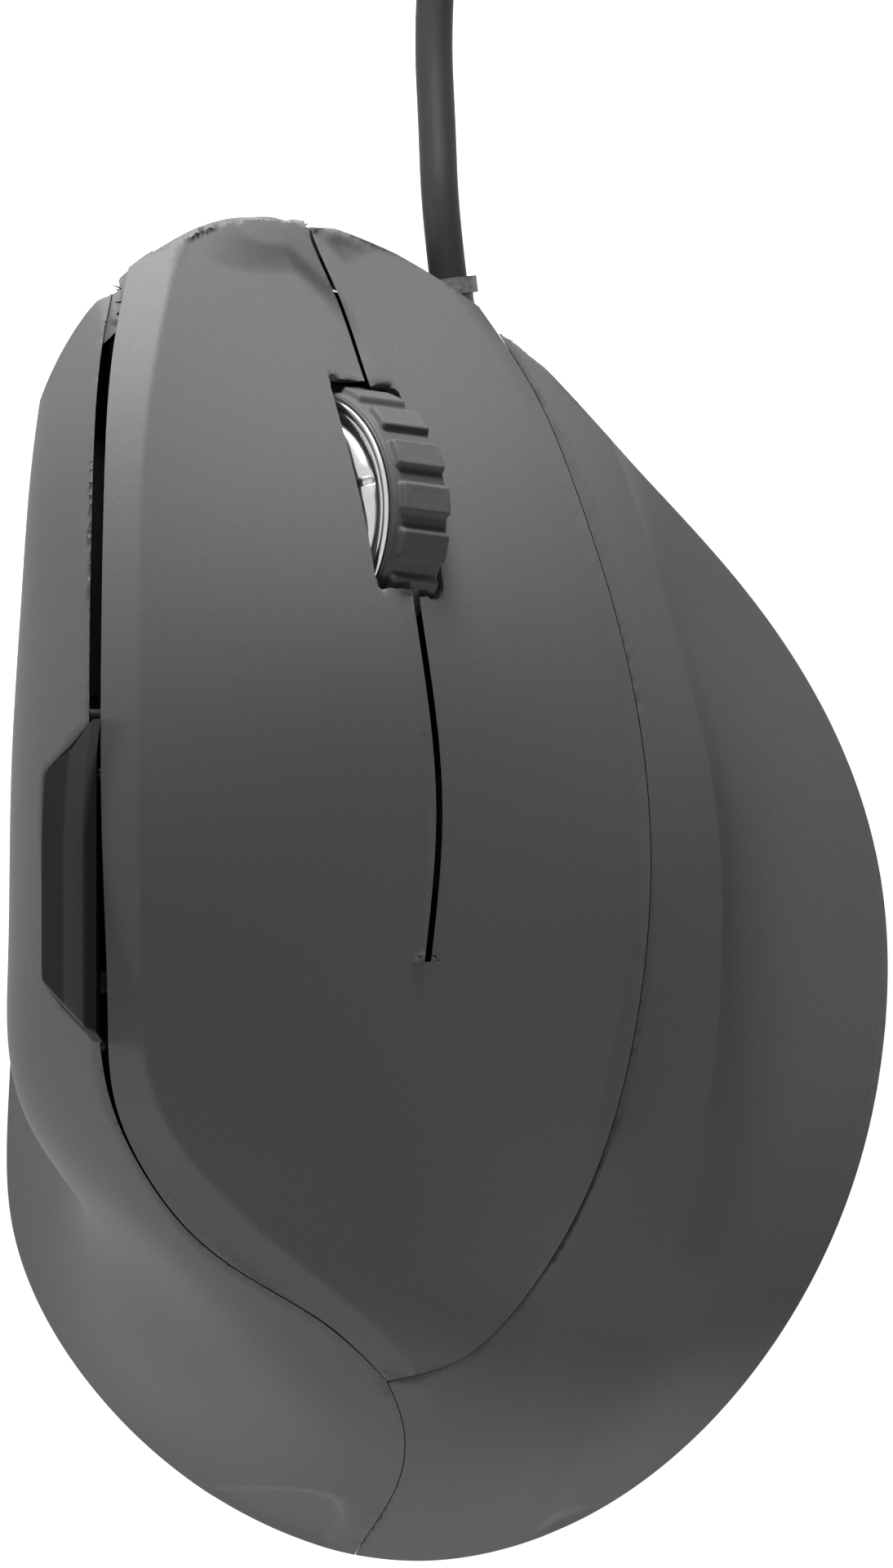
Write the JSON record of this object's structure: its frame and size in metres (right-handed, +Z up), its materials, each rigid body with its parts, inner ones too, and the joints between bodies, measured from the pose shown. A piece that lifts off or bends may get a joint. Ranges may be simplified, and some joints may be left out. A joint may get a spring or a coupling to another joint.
{
  "type": "computer mouse",
  "caption": "Upright right-handed desk mouse with two finger keys, a pressable scroll wheel, a tilting thumb rocker and a corded plug.",
  "frame": {"origin": "on the desk under the middle of the housing's box, cord left out", "axes": "+Y to the front where the cord leaves, +X to the little-finger side, +Z up"},
  "size_m": [0.0955, 0.2132, 0.0628],
  "materials": {
    "satin_shell": "fine grained dark grey moulding",
    "finger_face": "fine grained dark grey moulding, soft sheen",
    "inner_frame": "plain black moulding",
    "gloss_black": "polished black",
    "tyre_rubber": "soft black rubber with raised pads",
    "bright_metal": "bright plated",
    "screw_steel": "plain steel",
    "board_green": "solder mask over glass fibre",
    "switch_black": "black switch case",
    "stem_white": "white stem",
    "chip_black": "moulded chip package",
    "glide_pad": "slick black pad",
    "lens_clear": "clear moulded lens",
    "cord_jacket": "satin black jacket",
    "contact_gold": "gold plated",
    "grommet_grey": "mottled dark grey"
  },
  "bodies": {
    "housing": {"thumb_side_shell": "satin_shell", "outer_side_shell": "satin_shell", "palm_cover": "finger_face", "base_plate": "inner_frame", "base_screws": "screw_steel", "glide_foot_front": "glide_pad", "glide_foot_rear": "glide_pad", "glide_foot_left": "glide_pad", "glide_foot_right": "glide_pad", "cord_grommet": "grommet_grey", "cradle_mount": "inner_frame", "left_key_switch": "switch_black", "right_key_switch": "switch_black", "wheel_click_switch": "switch_black", "key_board": "board_green", "board_bracket": "inner_frame", "key_board_screws": "screw_steel", "rocker_bracket": "inner_frame", "rocker_pin": "screw_steel", "thumb_board": "board_green", "thumb_switch_front": "switch_black", "thumb_switch_rear": "switch_black", "thumb_screws": "screw_steel", "main_board": "board_green", "board_screws": "screw_steel", "sensor_chip": "chip_black", "controller_chip": "chip_black", "cord_socket": "stem_white", "sensor_lens": "lens_clear", "inner_lead": "cord_jacket", "cord_lead": "cord_jacket", "cord_coil": "cord_jacket", "cord_tail": "cord_jacket", "usb_plug_grip": "cord_jacket", "usb_plug_shell": "bright_metal", "usb_plug_tongue": "switch_black", "usb_plug_contacts": "contact_gold"},
    "left_key": {"left_key": "finger_face"},
    "right_key": {"right_key": "finger_face"},
    "left_plunger": {"left_switch_plunger": "stem_white"},
    "right_plunger": {"right_switch_plunger": "stem_white"},
    "cradle": {"wheel_cradle": "inner_frame", "wheel_encoder": "switch_black"},
    "wheel": {"wheel_hub": "bright_metal", "wheel_tyre": "tyre_rubber"},
    "wheel_stem": {"wheel_click_stem": "stem_white"},
    "rocker": {"thumb_rocker": "gloss_black"},
    "front_stem": {"thumb_stem_front": "stem_white"},
    "rear_stem": {"thumb_stem_rear": "stem_white"}
  },
  "joints": [
    {"name": "left_key_press", "type": "hinge", "parent": "housing", "child": "left_key", "pos_m": [-0.0282, -0.00524, 0.061], "axis": [-0.8252, 0, 0.5649], "range_deg": [0, 1], "stiffness_Nm_per_rad": 1.6, "springref_deg": -0.69},
    {"name": "left_plunger_slide", "type": "slide", "parent": "housing", "child": "left_plunger", "axis": [-0.6307, -0.4228, -0.6507], "range_m": [0, 0.000821]},
    {"name": "right_key_press", "type": "hinge", "parent": "housing", "child": "right_key", "pos_m": [-0.0009, -0.00524, 0.0416], "axis": [-0.6555, 0, 0.7552], "range_deg": [0, 1], "stiffness_Nm_per_rad": 1.6, "springref_deg": -0.69},
    {"name": "right_plunger_slide", "type": "slide", "parent": "housing", "child": "right_plunger", "axis": [-0.6307, -0.4228, -0.6507], "range_m": [0, 0.000793]},
    {"name": "wheel_press", "type": "hinge", "parent": "housing", "child": "cradle", "pos_m": [-0.0087, 0.01708, 0.03656], "axis": [-0.745, 0.0953, 0.6602], "range_deg": [0, 1.6], "stiffness_Nm_per_rad": 0.35, "springref_deg": -1.15},
    {"name": "wheel_stem_slide", "type": "slide", "parent": "housing", "child": "wheel_stem", "axis": [-0.6307, -0.4228, -0.6507], "range_m": [0, 0.000841]},
    {"name": "wheel_spin", "type": "hinge", "parent": "cradle", "child": "wheel", "pos_m": [-0.00985, 0.03096, 0.03326], "axis": [-0.745, 0.0953, 0.6602], "continuous": true},
    {"name": "thumb_rocker_tilt", "type": "hinge", "parent": "housing", "child": "rocker", "pos_m": [-0.02886, 0.00103, 0.05628], "axis": [-0.5101, 0, -0.8601], "range_deg": [-2.2, 2.2], "stiffness_Nm_per_rad": 0.1},
    {"name": "thumb_stem_front_slide", "type": "slide", "parent": "housing", "child": "front_stem", "axis": [0.8601, 0, -0.5101], "range_m": [-0.000346, 0.000346]},
    {"name": "thumb_stem_rear_slide", "type": "slide", "parent": "housing", "child": "rear_stem", "axis": [0.8601, 0, -0.5101], "range_m": [-0.000346, 0.000346]}
  ],
  "couplings": [
    {"joint": "left_plunger_slide", "follows": "left_key_press", "m_per_rad": 0.045876},
    {"joint": "right_plunger_slide", "follows": "right_key_press", "m_per_rad": 0.044267},
    {"joint": "wheel_stem_slide", "follows": "wheel_press", "m_per_rad": 0.0294},
    {"joint": "thumb_stem_front_slide", "follows": "thumb_rocker_tilt", "m_per_rad": 0.0085},
    {"joint": "thumb_stem_rear_slide", "follows": "thumb_rocker_tilt", "m_per_rad": -0.0085}
  ]
}
